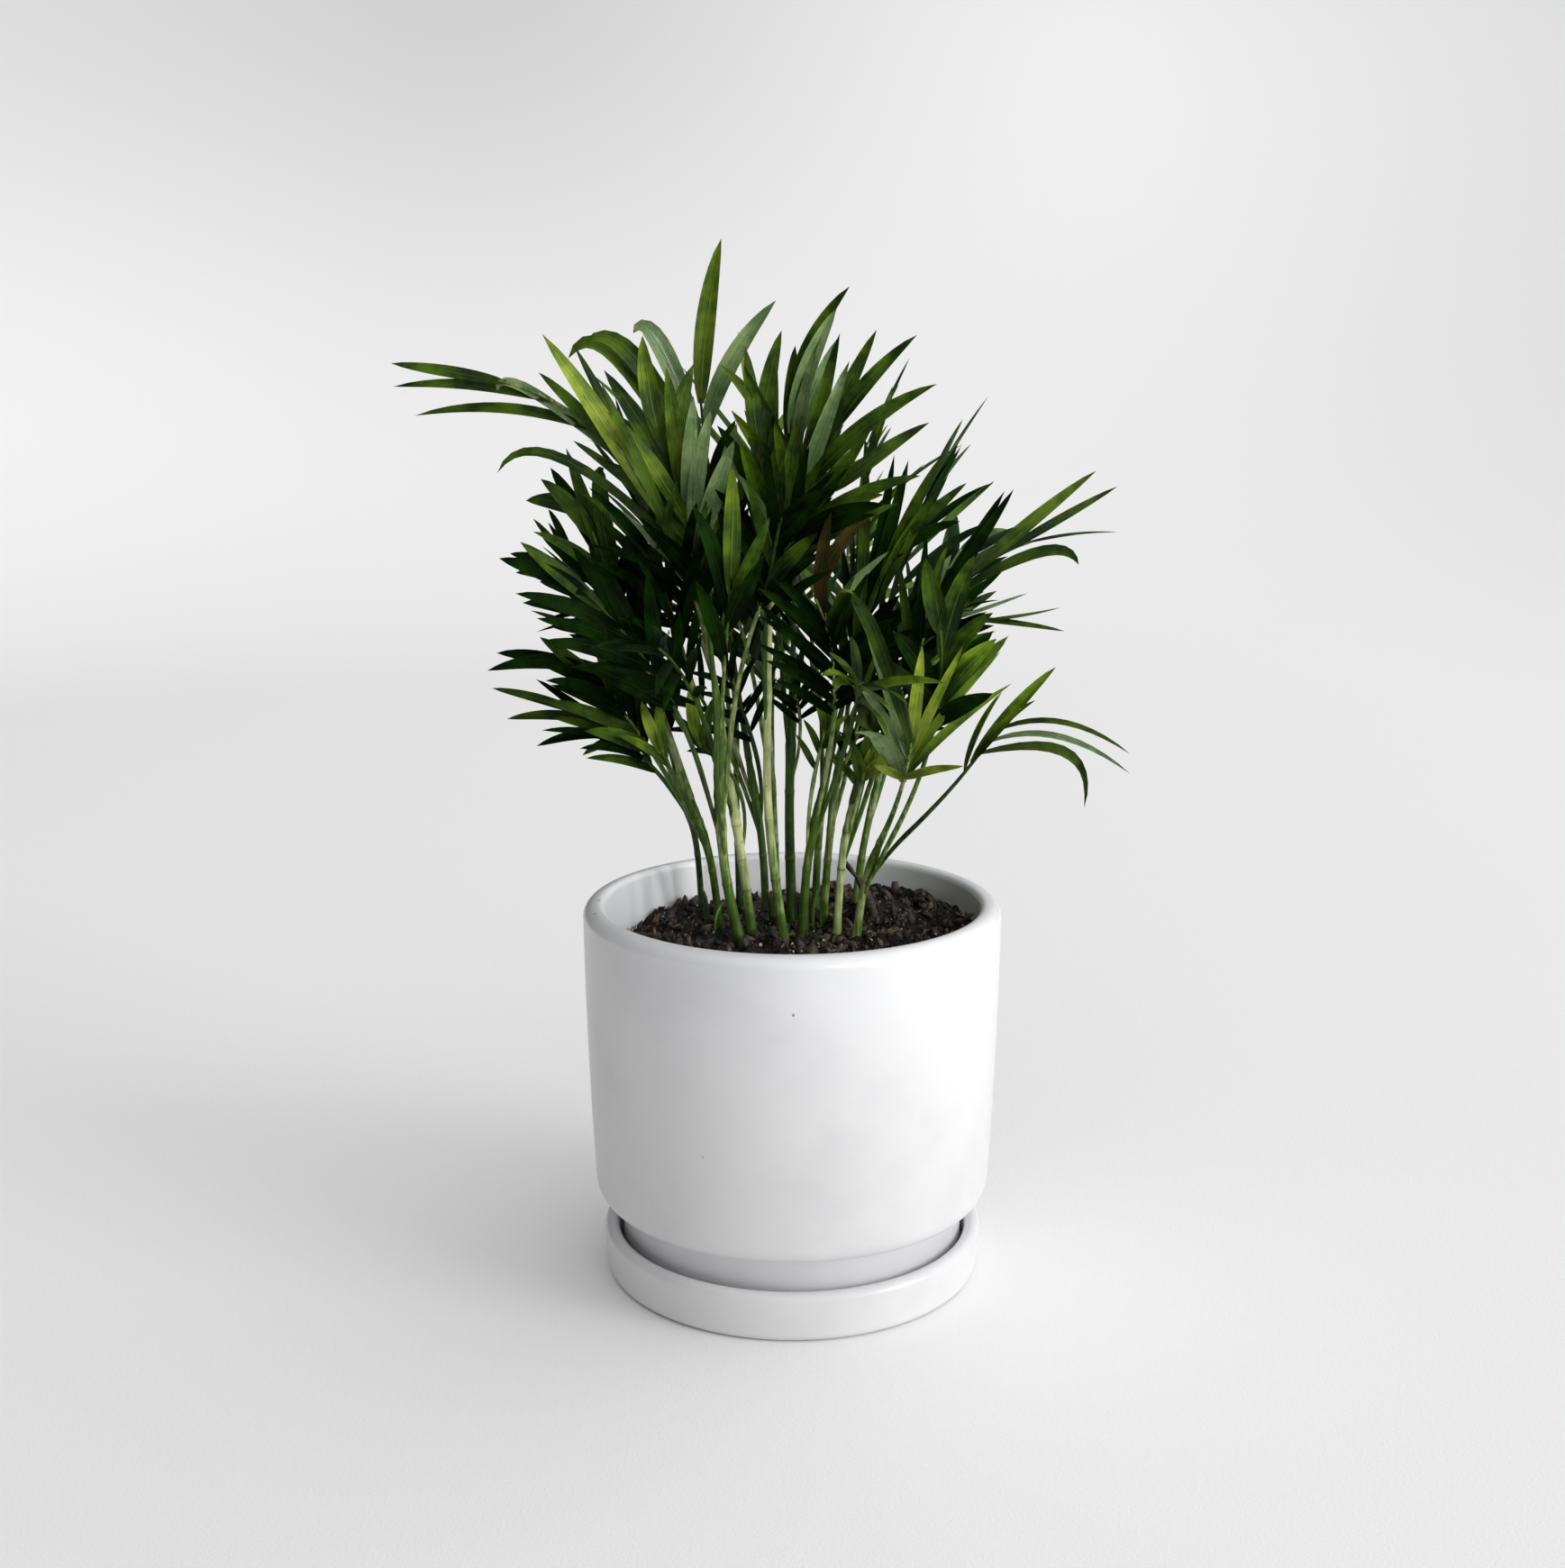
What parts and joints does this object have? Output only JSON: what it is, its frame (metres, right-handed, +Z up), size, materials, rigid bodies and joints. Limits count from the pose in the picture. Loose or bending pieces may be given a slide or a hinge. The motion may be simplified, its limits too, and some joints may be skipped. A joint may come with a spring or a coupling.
{
  "type": "potted palm",
  "caption": "Young parlour palm: a clump of slender green canes with feathered fronds, growing from dark potting soil in a round white glazed pot that stands in its own saucer.",
  "frame": {"origin": "on the pot's axis, at the flat underside of the saucer", "axes": "+Z up along the pot's axis, +X to the right as the plant is looked at, +Y away from the onlooker"},
  "size_m": [0.262, 0.2347, 0.393],
  "materials": {
    "glaze": "satin",
    "soil": "matte",
    "cane": "satin",
    "leaf": "satin"
  },
  "bodies": {
    "root": {"saucer": "glaze", "pot": "glaze", "soil": "soil", "cane_01": "cane", "cane_02": "cane", "cane_03": "cane", "cane_04": "cane", "cane_05": "cane", "cane_06": "cane", "cane_07": "cane", "cane_08": "cane", "cane_09": "cane", "cane_10": "cane", "cane_11": "cane", "cane_12": "cane", "cane_13": "cane", "cane_14": "cane", "cane_15": "cane", "frond_left_arch": "leaf", "frond_crown_tip": "leaf", "frond_left_high": "leaf", "frond_right_high": "leaf", "frond_right_crest": "leaf", "frond_right_sweep": "leaf", "frond_centre_high": "leaf", "frond_right_mid": "leaf", "frond_right_reach": "leaf", "frond_right_wisps": "leaf", "frond_low_fan": "leaf", "frond_low_reach_right": "leaf", "frond_low_tuft": "leaf", "frond_left_fan_high": "leaf", "frond_left_fan_mid": "leaf", "frond_left_fan_low": "leaf", "frond_low_reach_left": "leaf", "frond_left_inner": "leaf", "frond_left_core": "leaf", "frond_left_skirt": "leaf", "frond_front_centre": "leaf", "frond_front_spray": "leaf", "frond_right_core": "leaf", "frond_right_broad": "leaf", "frond_front_left": "leaf", "frond_front_right": "leaf", "frond_front_up": "leaf", "frond_centre_core": "leaf", "frond_left_crest": "leaf", "frond_right_shoulder": "leaf", "frond_back_crest_left": "leaf", "frond_back_crest": "leaf", "frond_back_crest_right": "leaf", "frond_back_right": "leaf", "frond_back_low_right": "leaf", "frond_back_mid": "leaf", "frond_back_mid_left": "leaf", "frond_back_left": "leaf", "frond_back_low_left": "leaf", "frond_back_skirt": "leaf", "frond_back_core": "leaf"}
  },
  "joints": []
}
